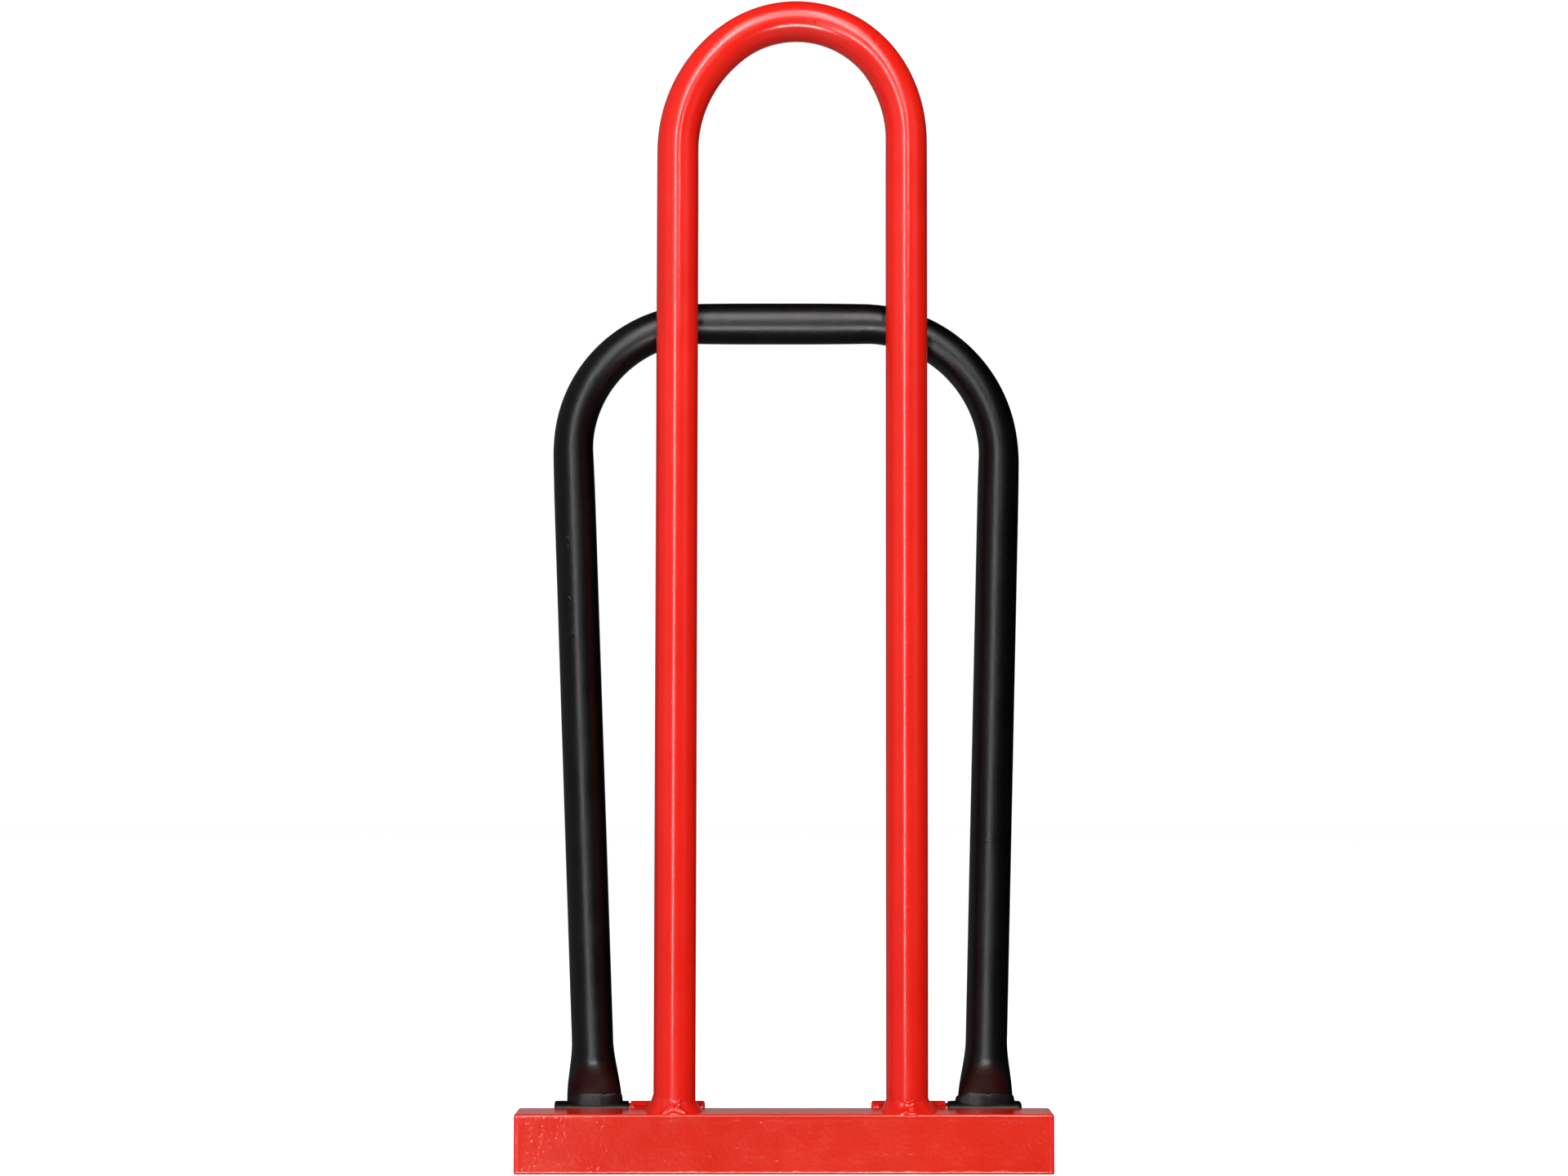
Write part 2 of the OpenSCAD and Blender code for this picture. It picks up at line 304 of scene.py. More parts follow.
def bare_metal(name, base, roughness):
    """Turned metal: fine rings round the hinge axis and a little staining."""
    rings_per_metre, ring_depth = 1400, 0.02 * MM
    material, nodes, links, principled = shader(name, base, roughness, Metallic=1.0)
    point = object_point(nodes)
    wave = nodes.new("ShaderNodeTexWave")
    wave.bands_direction = "X"
    wave.inputs["Scale"].default_value = rings_per_metre
    wave.inputs["Distortion"].default_value = 1.5
    links.new(point, wave.inputs["Vector"])
    bump(nodes, links, principled, wave.outputs["Fac"], 0.3, ring_depth)
    stain = noise_map(nodes, links, point, 260, 4)
    dark = tuple(c * 0.7 for c in base)
    links.new(ramp(nodes, links, stain, (0.35, dark), (0.65, base)),
              principled.inputs["Base Color"])
    return material


def leg_x(corner, foot, z):
    """Where a swinging leg's centre line is at height z."""
    return foot + (corner - foot) * (z - HINGE.z) / (CROSSBAR_Z - HINGE.z)


def ring_marks():
    """Broken rings on the front of the left swinging leg's coat: (centre, radii, way to the gap)."""
    marks = []
    for aside_mm, z_mm, half_width_mm in ((-6.0, 425, 2.4), (-6.5, 384, 2.3), (-4.8, 360, 2.0)):
        aside, z, half_width = aside_mm * MM, z_mm * MM, half_width_mm * MM
        front = HINGE.y - math.sqrt(TUBE_R ** 2 - aside ** 2)
        centre = (leg_x(LEFT_CORNER, LEFT_FOOT, z) + aside, front, z)
        radii = (half_width, 3 * half_width, 1.5 * half_width)
        marks.append((centre, radii, (-half_width, 0, -0.8 * half_width)))
    return marks


CROWN_NICK = ((21 * MM, -TUBE_R, 778 * MM), (0.5 * MM, 4 * MM, 2 * MM))
RED_TUBE = red_paint("red_tube_coat", (0.78, 0.0135, 0.0065), 5 * MM, 0.04 * MM, nicks=[CROWN_NICK])
# The bar's coat is the tube red made darker: painted shade that keeps the bar darker than the tubes under
# these lamps.
RED_BAR_SHADED = red_paint("red_bar_coat_shaded", (0.70, 0.022, 0.008), 2.8 * MM, 0.17 * MM, smoothest=0.1)
RED_WELD = red_paint("red_weld_coat", (0.75, 0.0135, 0.0065), 1.6 * MM, 0.05 * MM)
BLACK = black_paint("black_coat", 0.27, 0.13 * MM, ring_marks())
BLACK_WELD = black_paint("black_weld_coat", 0.34, 0.04 * MM)
STEEL = bare_metal("pin_steel", (0.56, 0.57, 0.58), 0.3)
BRASS = bare_metal("washer_brass", (0.72, 0.5, 0.2), 0.35)


# ---------------------------------------------------------------- bent tubes
STRAIGHT_STEP, BEND_STEP = 8 * MM, 3.5 * MM


def straight(start, end, step):
    """Stations (x, z, direction, bend) along a line, without its end point."""
    dx, dz = end[0] - start[0], end[1] - start[1]
    length = math.hypot(dx, dz)
    count = max(1, round(length / step))
    heading = math.atan2(dz, dx)
    return [
        (start[0] + dx * i / count, start[1] + dz * i / count, heading, 0.0)
        for i in range(count)
    ]


def arc(centre, radius, start, end, step, bend):
    """Stations along an arc that turns clockwise from start to end, without its end point."""
    count = max(1, round(radius * (start - end) / step))
    stations = []
    for i in range(count):
        angle = start + (end - start) * i / count
        stations.append((centre[0] + radius * math.cos(angle),
                         centre[1] + radius * math.sin(angle), angle - math.pi / 2, bend))
    return stations


def soften_bends(stations):
    """Lets the bend amounts run into each other, as a bent tube's section does."""
    passes = 6
    bends = [s[3] for s in stations]
    for _ in range(passes):
        bends = [
            (bends[max(0, i - 1)] + bends[i] + bends[min(len(bends) - 1, i + 1)]) / 3
            for i in range(len(bends))
        ]
    return [(x, z, heading, bend) for (x, z, heading, _), bend in zip(stations, bends)]


def tube_rows(stations, y, section):
    """Rows of points round a tube. section(station) gives its half width in the bend's plane, and
    its half thickness across that plane."""
    sides = 72
    rows = []
    for station in stations:
        x, z, heading, _ = station
        out = (-math.sin(heading), math.cos(heading))
        wide, thick = section(station)
        row = []
        for i in range(sides):
            turn = 2 * math.pi * (i + 0.5) / sides
            across = wide * math.cos(turn)
            row.append(Vector((x + out[0] * across, y + thick * math.sin(turn), z + out[1] * across)))
        rows.append(row)
    return rows


def lean_x(z):
    """How far the welded hoop has pulled over at height z."""
    slope, upright_z = 0.0015, 0.33
    return slope * (z - upright_z)


def upright_hoop():
    """The tall hoop: straight legs, a wide arc over each, and a tighter, slightly flattened crown."""
    crown_thin, side_thin = 0.027, 0.012
    crown = (CROWN_X, HOOP_TOP - TUBE_R * (1 - crown_thin) - CROWN_R)

    def side_radius(reach, rise):
        """Radius of the arc that is tangent both to a leg and to the crown's circle."""
        return (rise ** 2 + reach ** 2 - CROWN_R ** 2) / (2 * (reach - CROWN_R))

    left_r = side_radius(CROWN_X - LEFT_LEG, LEFT_RISE)
    right_r = side_radius(RIGHT_LEG - CROWN_X, RIGHT_RISE)
    left = (LEFT_LEG + left_r, crown[1] - LEFT_RISE)
    right = (RIGHT_LEG - right_r, crown[1] - RIGHT_RISE)
    left_join = math.atan2(crown[1] - left[1], crown[0] - left[0])
    right_join = math.atan2(crown[1] - right[1], crown[0] - right[0])
    stations = (
        straight((LEFT_LEG, BAR_TOP), (LEFT_LEG, left[1]), STRAIGHT_STEP)
        + arc(left, left_r, math.pi, left_join, BEND_STEP, side_thin)
        + arc(crown, CROWN_R, left_join, right_join, BEND_STEP, crown_thin)
        + arc(right, right_r, right_join, 0, BEND_STEP, side_thin)
        + straight((RIGHT_LEG, right[1]), (RIGHT_LEG, BAR_TOP), STRAIGHT_STEP)
        + [(RIGHT_LEG, BAR_TOP, -math.pi / 2, 0.0)]
    )
    stations = soften_bends(stations)

    def section(station):
        return TUBE_R * (1 - station[3]), TUBE_R

    stations = [(x + lean_x(z), z, heading, bend) for x, z, heading, bend in stations]
    points, faces = loft(tube_rows(stations, 0, section))
    return make_piece("upright_hoop_tube", points, faces, UPRIGHT, RED_TUBE,
                      ["upright_hoop"], sharp=60)


def swing_hoop():
    """The wide hoop: leaning legs, two bends and the crossbar, with both ends pressed flat."""
    bend_thin = 0.045
    left_lean = math.atan((LEFT_FOOT - LEFT_CORNER) / (CROSSBAR_Z - HINGE.z))
    right_lean = math.atan((RIGHT_CORNER - RIGHT_FOOT) / (CROSSBAR_Z - HINGE.z))
    half_turn = math.pi / 2
    left_setback = LEFT_BEND * math.tan((half_turn + left_lean) / 2)
    right_setback = RIGHT_BEND * math.tan((half_turn + right_lean) / 2)
    left = (LEFT_CORNER + left_setback, CROSSBAR_Z - LEFT_BEND)
    right = (RIGHT_CORNER - right_setback, CROSSBAR_Z - RIGHT_BEND)
    left_end = (left[0] - LEFT_BEND * math.cos(left_lean), left[1] - LEFT_BEND * math.sin(left_lean))
    right_end = (right[0] + RIGHT_BEND * math.cos(right_lean),
                 right[1] - RIGHT_BEND * math.sin(right_lean))
    top_z = WIDEN_Z + 8 * MM
    left_top = (leg_x(LEFT_CORNER, LEFT_FOOT, top_z), top_z)
    right_top = (leg_x(RIGHT_CORNER, RIGHT_FOOT, top_z), top_z)
    foot_steps = 26

    def pressed(corner, foot, upward):
        """Stations of a pressed end, whose heading stays that of the leg."""
        stations = []
        for i in range(foot_steps):
            t = i / foot_steps if upward else 1 - (i + 1) / foot_steps
            z = FOOT_Z + (top_z - FOOT_Z) * t
            stations.append((leg_x(corner, foot, z), z, half_turn if upward else -half_turn, 0.0))
        return stations

    stations = (
        pressed(LEFT_CORNER, LEFT_FOOT, True)
        + straight(left_top, left_end, STRAIGHT_STEP)
        + arc(left, LEFT_BEND, math.pi + left_lean, half_turn, BEND_STEP, bend_thin)
        + straight((left[0], CROSSBAR_Z), (right[0], CROSSBAR_Z), STRAIGHT_STEP)
        + arc(right, RIGHT_BEND, half_turn, -right_lean, BEND_STEP, bend_thin)
        + straight(right_end, right_top, STRAIGHT_STEP)
        + [(*right_top, -half_turn, 0.0)]
        + pressed(RIGHT_CORNER, RIGHT_FOOT, False)
    )
    stations = soften_bends(stations)

    def section(station):
        z = station[1]
        spread = smooth(-z, -WIDEN_Z, -FOOT_Z)
        pressed_flat = smooth(-z, -THIN_FROM, -THIN_TO)
        wide = TUBE_R * (1 - station[3]) * (1 - spread) + FOOT_W / 2 * spread
        thick = TUBE_R * (1 - pressed_flat) + FOOT_T / 2 * pressed_flat
        return wide, thick

    points, faces = loft(tube_rows(stations, HINGE.y, section))
    return make_piece("swing_hoop_tube", points, faces, SWING, BLACK,
                      ["swing_hoop"], sharp=60)


# ---------------------------------------------------------------- foot bar
def bar_section(corner_steps, flat_steps, half=BAR_HALF, radius=BAR_CORNER):
    """Points (y, z, edge) round a square section, with edge the distance to its flat's nearer end."""
    flat = half - radius
    section = []
    for side in range(4):
        turn = side * math.pi / 2
        c, s = math.cos(turn), math.sin(turn)
        pitch = 2 * flat / flat_steps
        local = [(half, -flat + pitch * i, pitch * min(i, flat_steps - i)) for i in range(flat_steps)]
        local += [(flat + radius * math.cos(a), flat + radius * math.sin(a), 0.0)
                  for a in (math.pi / 2 * i / corner_steps for i in range(corner_steps))]
        section += [(c * u - s * v, BAR_HALF + s * u + c * v, edge) for u, v, edge in local]
    return section


def foot_bar():
    """The square tube. Its faces are a little hollow and wavy inside a raised rim."""
    rim, hollow, wave, wave_size = 3.5 * MM, 0.07 * MM, 0.04 * MM, 7 * MM
    step = 2 * MM
    section = bar_section(6, 20)
    count = round((bar_high.x - bar_low.x) / step)
    rows = []
    for i in range(count + 1):
        x = bar_low.x + (bar_high.x - bar_low.x) * i / count
        end = min(x - bar_low.x, bar_high.x - x)
        row = []
        for y, z, edge in section:
            inward = Vector((0, -y, BAR_HALF - z)).normalized()
            inside = smooth(min(edge, end + 1.5 * MM), 0.6 * MM, rim)
            depth = inside * (hollow + wave * (1 + ripple((x, y, z), wave_size)))
            row.append(Vector((x, y, z)) + inward * depth)
        rows.append(row)
    points, faces = loft(rows)
    return make_piece("foot_bar_tube", points, faces, UPRIGHT, RED_BAR_SHADED,
                      ["foot_bar"], sharp=50)


# rows of the weld and of the plate: how far out from the tube's end, and how far inset, in mm
END_WELD_ROWS = ((0.0, 0.0), (0.3, 0.09), (0.55, 0.09), (0.8, 0.0), (1.6, 0.0), (2.4, 0.0),
                 (3.1, 0.08), (3.55, 0.3), (3.85, 0.65), (3.95, 1.1), (3.95, 1.6))
END_PLATE_ROWS = ((2.6, 0.1), (3.8, 0.1), (3.95, 0.2), (4.0, 0.5), (3.97, 3.0), (3.94, 9.0), (3.92, 15.0))
# points to a corner and to a flat
END_STEPS = (6, 24)


def faced_out(rows, side):
    """Rows that run the other way round on the left side, so that the skin faces outwards."""
    return [row[::-1] for row in rows] if side < 0 else rows


def end_weld(side, name):
    """The lumpy weld frame at one end of the bar."""
    bead_depth, lump_size, lump_seed = 0.1 * MM, 4.5 * MM, 3.0
    rows = []
    for along, inset in END_WELD_ROWS:
        bead = smooth(along, 0.3, 0.9) * (1 - smooth(along, 2.6, 3.9))
        row = []
        for y, z, _ in bar_section(*END_STEPS, BAR_HALF - inset * MM, BAR_CORNER - inset * 0.6 * MM):
            sink = bead * bead_depth * (1 + ripple((side, y, z), lump_size, lump_seed))
            inward = Vector((0, -y, BAR_HALF - z)).normalized()
            row.append(Vector((side * (bar_high.x + along * MM), y, z)) + inward * sink)
        rows.append(row)
    points, faces = loft(faced_out(rows, side))
    return make_piece("end_weld_" + name, points, faces, UPRIGHT, RED_WELD,
                      ["end_plate_weld_" + name])


def end_plate(side, name):
    """The plate inside the weld frame, very slightly dished."""
    plate_half = BAR_HALF - 1.5 * MM
    rows = []
    for along, inset in END_PLATE_ROWS:
        corner = max(0.4, 1.2 - inset * 0.2) * MM
        rows.append([Vector((side * (bar_high.x + along * MM), y, z))
                     for y, z, _ in bar_section(*END_STEPS, plate_half - inset * MM, corner)])
    points, faces = loft(faced_out(rows, side))
    return make_piece("end_plate_cap_" + name, points, faces, UPRIGHT, RED_BAR_SHADED,
                      ["end_plate_" + name])


# ---------------------------------------------------------------- welds on the bar
def fold_on_bar(x, across, lift):
    """The point lift above the bar's skin, a distance across from its top's middle, round the skin."""
    side = math.copysign(1, across)
    past = abs(across) - FLAT_HALF
    if past <= 0:
        return Vector((x, across, BAR_TOP + lift))
    turn = min(past / BAR_CORNER, math.pi / 2)
    down = max(0.0, past - BAR_CORNER * math.pi / 2)
    r = BAR_CORNER + lift
    y = FLAT_HALF + r * math.sin(turn)
    return Vector((x, side * min(y, BAR_HALF), BAR_TOP - BAR_CORNER + r * math.cos(turn) - down))


def leg_weld(name, x, node, reach_at, rise_at, ridges, front_run):
    """The fillet round an upright leg. ridges are raised lines on its front, each the two (x, z) ends,
    a height and a width, and front_run is how far its front toe runs over the bar's front edge."""
    sides, steps = 220, 30
    root = 0.25 * MM
    lump_size, dimple, dimple_size = 7 * MM, 0.16 * MM, 3 * MM
    rows = []
    for k in range(steps + 1):
        up = k / steps
        row = []
        for i in range(sides):
            turn = 2 * math.pi * i / sides
            c, s = math.cos(turn), math.sin(turn)
            front = smooth(-s, 0.8, 1.0)
            reach = reach_at(turn) * (1 - front) + front_run * front
            rise = rise_at(turn)
            bead = 1 + 0.12 * ripple((c * 30 * MM, s * 30 * MM, x), lump_size, 5.0)
            out = TUBE_R - root + reach * bead * (1 - up) ** 1.5
            lift = rise * bead * up ** 1.2 - root * (1 - up)
            place = (c * 20 * MM, s * 20 * MM, up * 10 * MM)
            lift += dimple * up * (1 - up) * 4 * ripple(place, dimple_size, 2.0)
            across = out * s
            if s > 0:
                across = min(across, FLAT_HALF)
            point = fold_on_bar(x + out * c, across, lift)
            if s < 0:
                for a, b, height, width in ridges:
                    away = segment_distance(point.x - x, point.z - BAR_TOP, a, b)
                    push = height * math.exp(-(away / width) ** 2)
                    point.y -= push * 0.75
                    point.z += push * 0.45 * (1 if point.y > -FLAT_HALF else 0)
            point.y = clamp(point.y, -BAR_HALF + 0.02 * MM, BAR_HALF)
            row.append(point)
        rows.append(row)
    points, faces = loft(rows, cap_start=False, cap_end=False)
    return make_piece(name, points, faces, UPRIGHT, RED_WELD, [node], sharp=70)


def leg_welds():
    """Both legs' welds, each with its own toe, height and raised lines."""
    def left_reach(turn):
        return (5.4 + 0.8 * math.cos(2 * turn)) * MM

    def left_rise(turn):
        return (10.5 + 2.5 * math.cos(turn - math.pi)) * MM

    left_ridges = [
        ((-3.4 * MM, 8.6 * MM), (0.2 * MM, 4.6 * MM), 1.0 * MM, 0.75 * MM),
        ((0.2 * MM, 4.6 * MM), (4.8 * MM, 8.8 * MM), 1.1 * MM, 0.75 * MM),
        ((4.6 * MM, 8.6 * MM), (3.6 * MM, 3.0 * MM), 0.7 * MM, 0.6 * MM),
        ((-2.0 * MM, 4.4 * MM), (-8.0 * MM, -0.4 * MM), 1.1 * MM, 0.9 * MM),
        ((3.2 * MM, 3.6 * MM), (9.6 * MM, -0.6 * MM), 1.0 * MM, 0.9 * MM),
    ]
    leg_weld("upright_weld_bead_left", LEFT_LEG + lean_x(BAR_TOP), "upright_weld_left",
             left_reach, left_rise, left_ridges, 5.8 * MM)

    def right_reach(turn):
        return (4.4 + 2.4 * max(0.0, math.cos(turn)) ** 2) * MM

    def right_rise(turn):
        return (8.2 + 1.6 * abs(math.cos(turn))) * MM

    right_ridges = [
        ((-3.8 * MM, 8.2 * MM), (0.4 * MM, 6.6 * MM), 0.9 * MM, 0.7 * MM),
        ((0.4 * MM, 6.6 * MM), (3.8 * MM, 8.4 * MM), 0.9 * MM, 0.7 * MM),
        ((-5.0 * MM, 0.6 * MM), (3.4 * MM, 3.6 * MM), 1.2 * MM, 0.9 * MM),
        ((12.0 * MM, 9.0 * MM), (17.5 * MM, 1.0 * MM), 0.8 * MM, 0.8 * MM),
    ]
    leg_weld("upright_weld_bead_right", RIGHT_LEG + lean_x(BAR_TOP), "upright_weld_right",
             right_reach, right_rise, right_ridges, 7.5 * MM)


def sleeve_weld(name, node):
    """The bead between a hinge sleeve and the bar's rear top edge, rippled and with tapered ends."""
    low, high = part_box(node)
    lean, tuck = math.radians(40), 0.35
    contact_r = BARREL_R - 0.2 * MM
    count, steps = 70, 10
    rows = []
    for k in range(steps + 1):
        t = k / steps
        row = []
        for i in range(count + 1):
            x = low.x + (high.x - low.x) * i / count
            end = min(x - low.x, high.x - x)
            taper = 0.35 + 0.65 * smooth(end, 0, 4 * MM)
            toe = Vector((x, FLAT_HALF + (low.y - FLAT_HALF) * taper, BAR_TOP - 0.2 * MM))
            angle = lean * taper + tuck * (1 - taper)
            top = Vector((x, HINGE.y - contact_r * math.sin(angle), HINGE.z + contact_r * math.cos(angle)))
            crown = math.sin(math.pi * t)
            swell = crown * MM * (0.45 + 0.35 * ripple((x, 0, t * 2 * MM), 3.2 * MM, 4.0))
            scallop = 0.12 * MM * crown * math.sin(2 * math.pi * x / (2.6 * MM) + 2.2 * t)
            row.append(toe.lerp(top, t) + Vector((0, -0.6, 0.8)) * (swell + scallop - 0.3 * MM))
        rows.append(row)
    points, faces = loft(rows, close=False, cap_start=False, cap_end=False)
    points, faces = thickened(points, faces, count + 1, steps + 1, Vector((0, 1.2 * MM, -2.2 * MM)))
    return make_piece(name, points, faces, UPRIGHT, RED_WELD, [node], sharp=70)


def thickened(points, faces, columns, rows, shift):
    """A closed slab from an open grid skin, its other side moved by shift."""
    offset = len(points)
    last = (rows - 1) * columns
    border = list(range(columns))
    border += [k * columns + columns - 1 for k in range(1, rows)]
    border += [last + i for i in range(columns - 2, -1, -1)]
    border += [k * columns for k in range(rows - 2, 0, -1)]
    back = [tuple(offset + i for i in face)[::-1] for face in faces]
    rim = [(offset + a, offset + b, b, a) for a, b in zip(border, border[1:] + border[:1])]
    return points + [p + shift for p in points], faces + back + rim


# ---------------------------------------------------------------- hinges
def barrel(name, node, body, material, bore_r, outer_round, inner_edge, open_right):
    """One half of a barrel hinge, turned about the hinge axis, with a blind bore at its open end."""
    low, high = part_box(node)
    length = high.x - low.x
    bore_depth, bore_chamfer = 38.5 * MM, 0.4 * MM
    wear_depth, wear_size, wear_seed = 0.05 * MM, 5 * MM, 6.0
    sides, rounding, along = 72, 8, 30
    middle = length - outer_round - inner_edge
    quarter = [math.pi / 2 * i / rounding for i in range(rounding + 1)]
    profile = [(0, 0.0), (0, BARREL_R - outer_round)]
    for a in quarter[1:]:
        profile.append((outer_round * (1 - math.cos(a)), BARREL_R - outer_round * (1 - math.sin(a))))
    profile += [(outer_round + middle * i / along, BARREL_R) for i in range(1, along)]
    for a in quarter:
        profile.append((length - inner_edge * (1 - math.sin(a)),
                        BARREL_R - inner_edge * (1 - math.cos(a))))
    profile += [(length, bore_r + bore_chamfer), (length - bore_chamfer, bore_r),
                (length - bore_depth, bore_r), (length - bore_depth, 0.0)]
    start, sign = (low.x, 1) if open_right else (high.x, -1)
    rows = []
    for distance, r in profile:
        row = []
        for i in range(sides):
            turn = 2 * math.pi * i / sides * sign
            x = start + sign * distance
            c, s = math.cos(turn), math.sin(turn)
            wear = wear_depth * ripple((x, c * 9 * MM, s * 9 * MM), wear_size, wear_seed)
            radius = max(0.0, r - (abs(wear) if r > BARREL_R - 0.1 * MM else 0))
            row.append(Vector((x, HINGE.y + radius * s, HINGE.z - radius * c)))
        rows.append(row)
    points, faces = loft(rows, cap_start=False, cap_end=False)
    obj = make_piece(name, points, faces, body, material, [node], sharp=35)
    weld_doubles(obj)
    return obj


def weld_doubles(obj):
    """Merges the points that meet on the axis, so the ends close."""
    bm = bmesh.new()
    bm.from_mesh(obj.data)
    bmesh.ops.remove_doubles(bm, verts=bm.verts, dist=1e-6)
    bm.to_mesh(obj.data)
    bm.free()


def hinges():
    """Both hinges' barrels. Only the right knuckle's outer end is rounded much."""
    pin_r, play = 4.5 * MM, 0.05 * MM
    barrel("hinge_sleeve_tube_left", "hinge_sleeve_left", UPRIGHT, RED_TUBE,
           pin_r, 1.6 * MM, 0.7 * MM, False)
    barrel("hinge_sleeve_tube_right", "hinge_sleeve_right", UPRIGHT, RED_TUBE,
           pin_r, 1.6 * MM, 0.7 * MM, True)
    barrel("hinge_knuckle_tube_left", "hinge_knuckle_left", SWING, BLACK,
           pin_r + play, 1.2 * MM, 0.6 * MM, True)
    barrel("hinge_knuckle_tube_right", "hinge_knuckle_right", SWING, BLACK,
           pin_r + play, 2.6 * MM, 1.2 * MM, False)


def foot_weld(name, node, foot, toe_reach, seed):
    """The hand-laid bead between a flat foot and its knuckle: lumpy, with a scalloped upper edge."""
    sides, steps = 240, 22
    half_w, half_t = FOOT_W / 2, FOOT_T / 2
    lump_size, scallop_size = 4.2 * MM, 6.2 * MM
    dimple, dimple_size = 0.08 * MM, 2.3 * MM
    reach_y = BARREL_R - 0.35 * MM
    contact_r = BARREL_R - 0.15 * MM
    rows = []
    for k in range(steps + 1):
        t = k / steps
        row = []
        for i in range(sides):
            turn = 2 * math.pi * (i + 0.5) / sides
            c, s = math.cos(turn), math.sin(turn)
            end = smooth(abs(c), 0.6, 1.0)
            along = foot + c * half_w
            lump = ripple((along, s * 5 * MM, 0), lump_size, seed)
            scallop = abs(math.sin(along / scallop_size + seed))
            height = (4.6 + 1.1 * lump + 1.3 * scallop) * MM * (1 - 0.25 * end)
            reach = (0.9 + 0.1 * lump) * MM * (1 - end) + toe_reach * end
            out = -0.2 * MM + reach * math.sqrt(max(0.0, 1 - t ** 1.6))
            out += dimple * ripple((along, s * 6 * MM, t * 5 * MM), dimple_size, seed + 1) * (1 - t)
            y = clamp(s * (half_t + out), -reach_y, reach_y)
            under = math.sqrt(max(0.0, contact_r ** 2 - y * y))
            z = HINGE.z + under + (FOOT_Z - HINGE.z - under + height) * t
            row.append(Vector((foot + c * (half_w + out), HINGE.y + y, z)))
        rows.append(row)
    points, faces = loft(rows)
    return make_piece(name, points, faces, SWING, BLACK_WELD, [node], sharp=80)


def metal_parts():
    """The pins and washers keep their CAD shape, with metal materials and smooth round sides."""
    kinds = (("hinge_pin_", STEEL, "hinge_steel"), ("hinge_washer_", BRASS, "hinge_brass"))
    for side in ("left", "right"):
        for kind, material, slot in kinds:
            part = frame["nodes"][kind + side]
            part.data.materials.clear()
            part.data.materials.append(material)
            part.data.shade_smooth()
            part.data.set_sharp_from_angle(angle=math.radians(30))


# ---------------------------------------------------------------- build the object
upright_hoop()
swing_hoop()
foot_bar()
for direction, side in ((-1, "left"), (1, "right")):
    end_weld(direction, side)
    end_plate(direction, side)
leg_welds()
for side in ("left", "right"):
    sleeve_weld("sleeve_weld_bead_" + side, "sleeve_weld_" + side)
hinges()
foot_weld("foot_weld_bead_left", "foot_weld_left", LEFT_FOOT, 0.5 * MM, 1.0)
foot_weld("foot_weld_bead_right", "foot_weld_right", RIGHT_FOOT, 1.8 * MM, 9.0)
metal_parts()


# ---------------------------------------------------------------- studio
def world_light():
    """White to the eye. To the object: a dark room, dim on its left and behind, with a faint ground."""
    world = bpy.data.worlds.new("studio")
    bpy.context.scene.world = world
    world.use_nodes = True
    nodes, links = world.node_tree.nodes, world.node_tree.links
    nodes.clear()
    axes = nodes.new("ShaderNodeSeparateXYZ")
    links.new(nodes.new("ShaderNodeTexCoord").outputs["Generated"], axes.inputs["Vector"])

    def map_range(value, start, end, low, high):
        node = nodes.new("ShaderNodeMapRange")
        node.interpolation_type = "SMOOTHSTEP"
        node.inputs["From Min"].default_value = start
        node.inputs["From Max"].default_value = end
        node.inputs["To Min"].default_value = low
        node.inputs["To Max"].default_value = high
        links.new(value, node.inputs["Value"])
        return node.outputs["Result"]

    sides = map_range(axes.outputs["X"], -1.0, 0.1, 0.17, 0.0)
    wall = map_range(axes.outputs["Y"], 0.90, 0.97, 0.0, 0.25)
    ground = map_range(axes.outputs["Z"], -0.4, -0.12, 0.06, 0.0)
    total = combine(nodes, links, "ADD", combine(nodes, links, "ADD", sides, wall), ground)
    room = nodes.new("ShaderNodeBackground")
    links.new(total, room.inputs["Strength"])
    room.inputs["Color"].default_value = (1, 1, 1, 1)
    white = nodes.new("ShaderNodeBackground")
    white.inputs["Color"].default_value = (1, 1, 1, 1)
    white.inputs["Strength"].default_value = 1.05
    mix = nodes.new("ShaderNodeMixShader")
    links.new(nodes.new("ShaderNodeLightPath").outputs["Is Camera Ray"], mix.inputs["Fac"])
    links.new(room.outputs["Background"], mix.inputs[1])
    links.new(white.outputs["Background"], mix.inputs[2])
    out = nodes.new("ShaderNodeOutputWorld")
    links.new(mix.outputs["Shader"], out.inputs["Surface"])


def floor():
    """A plain pale floor, overexposed to white. The object doesn't see it, and lamps shine through it."""
    size = 12
    material, nodes, links, principled = shader("pale_floor", (0.9, 0.9, 0.9), 0.9)
    drift = noise_map(nodes, links, object_point(nodes), 0.8, 2)
    links.new(ramp(nodes, links, drift, (0.3, 0.88), (0.7, 0.92)), principled.inputs["Base Color"])
    principled.inputs["Specular IOR Level"].default_value = 0.0
    principled.inputs["Emission Color"].default_value = (1, 1, 1, 1)
    principled.inputs["Emission Strength"].default_value = 0.95
    mesh = bpy.data.meshes.new("floor")
    corners = [(-size, -size, 0), (size, -size, 0), (size, size, 0), (-size, size, 0)]
    mesh.from_pydata(corners, [], [(0, 1, 2, 3)])
    mesh.materials.append(material)
    obj = bpy.data.objects.new("floor", mesh)
    bpy.context.scene.collection.objects.link(obj)
    obj.visible_diffuse = False
    obj.visible_glossy = False
    obj.visible_shadow = False


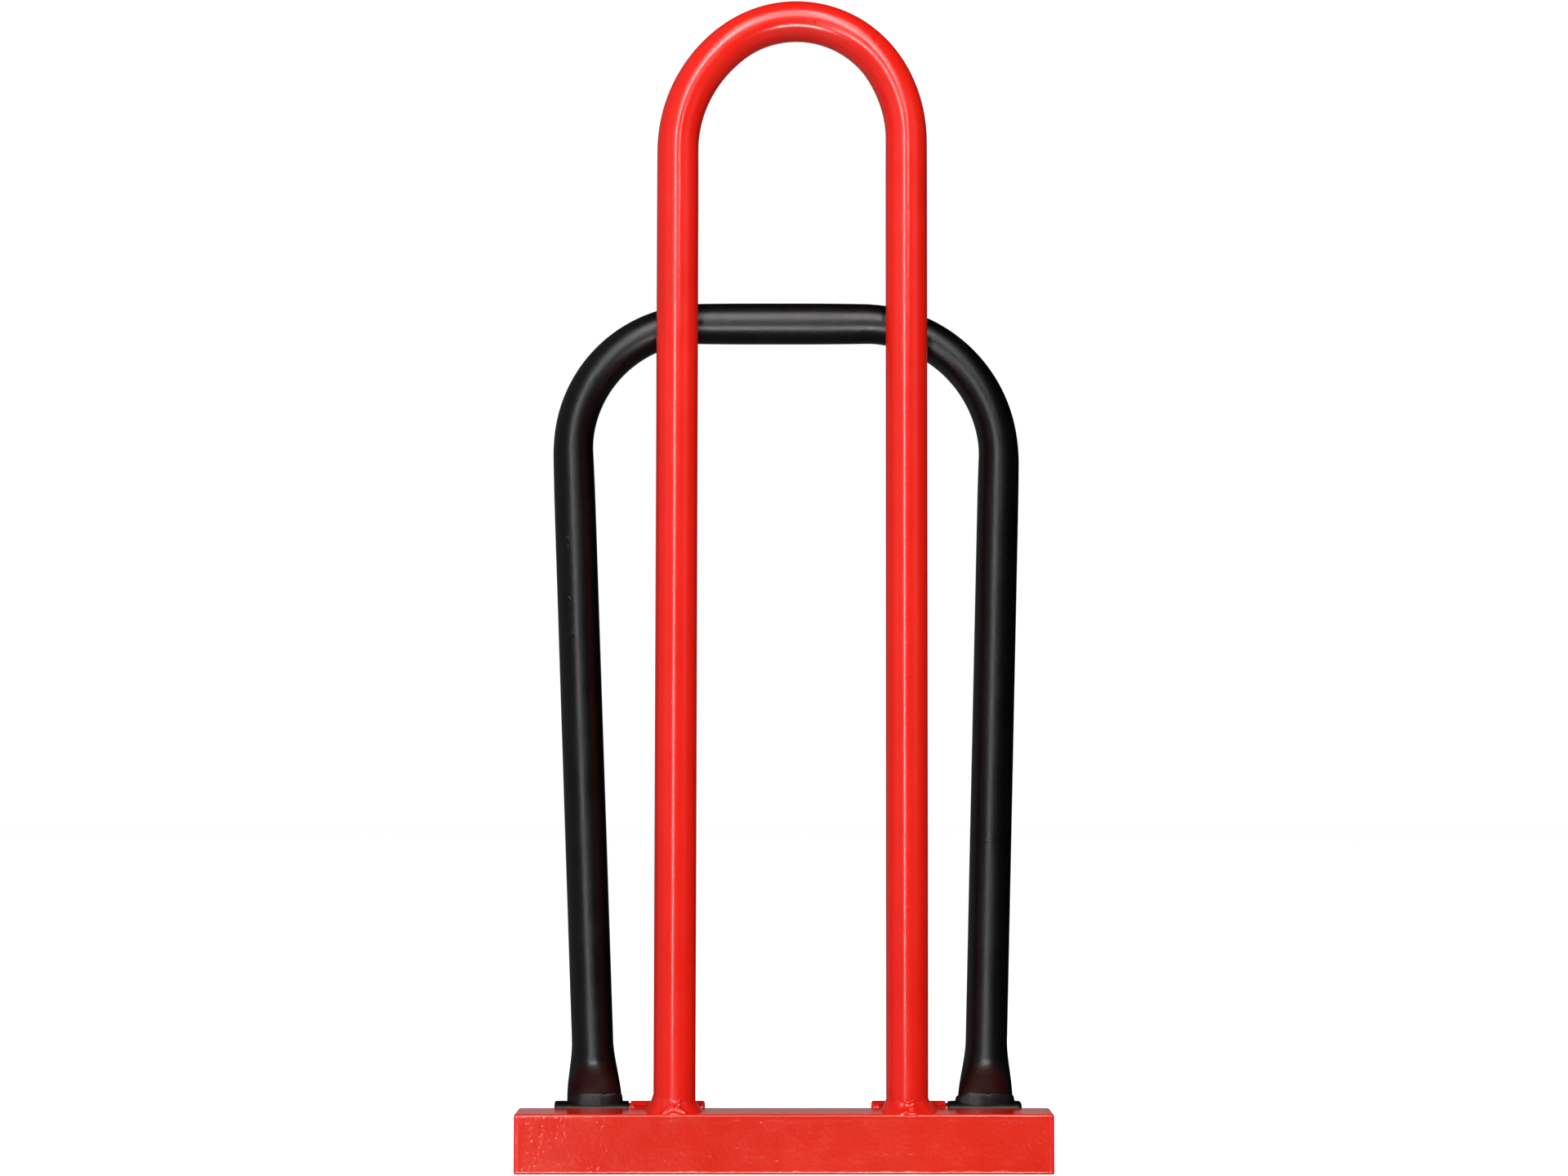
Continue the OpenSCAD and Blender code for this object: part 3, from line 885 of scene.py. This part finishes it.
def lamp(name, place, target, width, height, radiance, diffuse=True, glossy=True):
    """A soft box that faces the target and shines with the given radiance."""
    light = bpy.data.lights.new(name, "AREA")
    light.shape = "RECTANGLE"
    light.size, light.size_y = width, height
    light.energy = radiance * math.pi * width * height
    obj = bpy.data.objects.new(name, light)
    obj.location = place
    obj.rotation_euler = (Vector(target) - Vector(place)).to_track_quat("-Z", "Y").to_euler()
    obj.visible_camera = False
    obj.visible_diffuse = diffuse
    obj.visible_glossy = glossy
    bpy.context.scene.collection.objects.link(obj)
    return obj


def front_cards():
    """Faint cards that lie face up just under the floor, in front of the bar, seen only as reflections.
    They all start at the same left end, so they are strongest on the left."""
    left_end, depth, middle_y, height = -0.9, 0.6, -0.32, -0.004
    for right_end, radiance in ((-0.04, 0.01), (0.04, 0.07), (0.1, 0.07), (0.8, 0.01)):
        place = ((right_end + left_end) / 2, middle_y, height)
        card = lamp("front_card", place, (0, 0, 1), right_end - left_end, depth, radiance, diffuse=False)
        card.rotation_euler = (math.pi, 0, 0)


world_light()
floor()
lamp("strip_left", (-0.572, -2.6, 1.37), (0, 0, 1.37), 0.08, 3.06, 32)
lamp("strip_upper", (0.4, -2.3, 2.1), (0.03, 0, 1.0), 0.08, 2.2, 24)
lamp("glow_left", (-0.5, -2.7, 1.5), (0, 0, 1.5), 0.6, 2.8, 0.7)
lamp("top_front", (0, -1.3, 2.9), (0, 0, 0.6), 2.4, 0.5, 8, glossy=False)
lamp("top_box", (0, -2.4, 2.5), (0, 0, 0.65), 2.4, 1.9, 3.6, diffuse=False)
lamp("low_front", (-0.1, -2.3, -0.87), (0, 0, 0.3), 1.2, 0.3, 26, diffuse=False)
lamp("fill_front", (-0.8, -2.6, 1.6), (0, 0, 0.4), 1.5, 1.5, 3.8, glossy=False)
lamp("fill_left", (-1.9, -1.4, 1.0), (0, 0, 0.4), 1.2, 1.6, 2.0, glossy=False)
lamp("fill_right", (1.9, -1.6, 1.0), (0, 0, 0.4), 1.2, 1.6, 3.2, glossy=False)
lamp("fill_below", (0, -0.3, -1.5), (0, 0, 0.5), 3.0, 3.0, 1.1, glossy=False)
front_cards()
bpy.context.scene.view_settings.view_transform = "Standard"
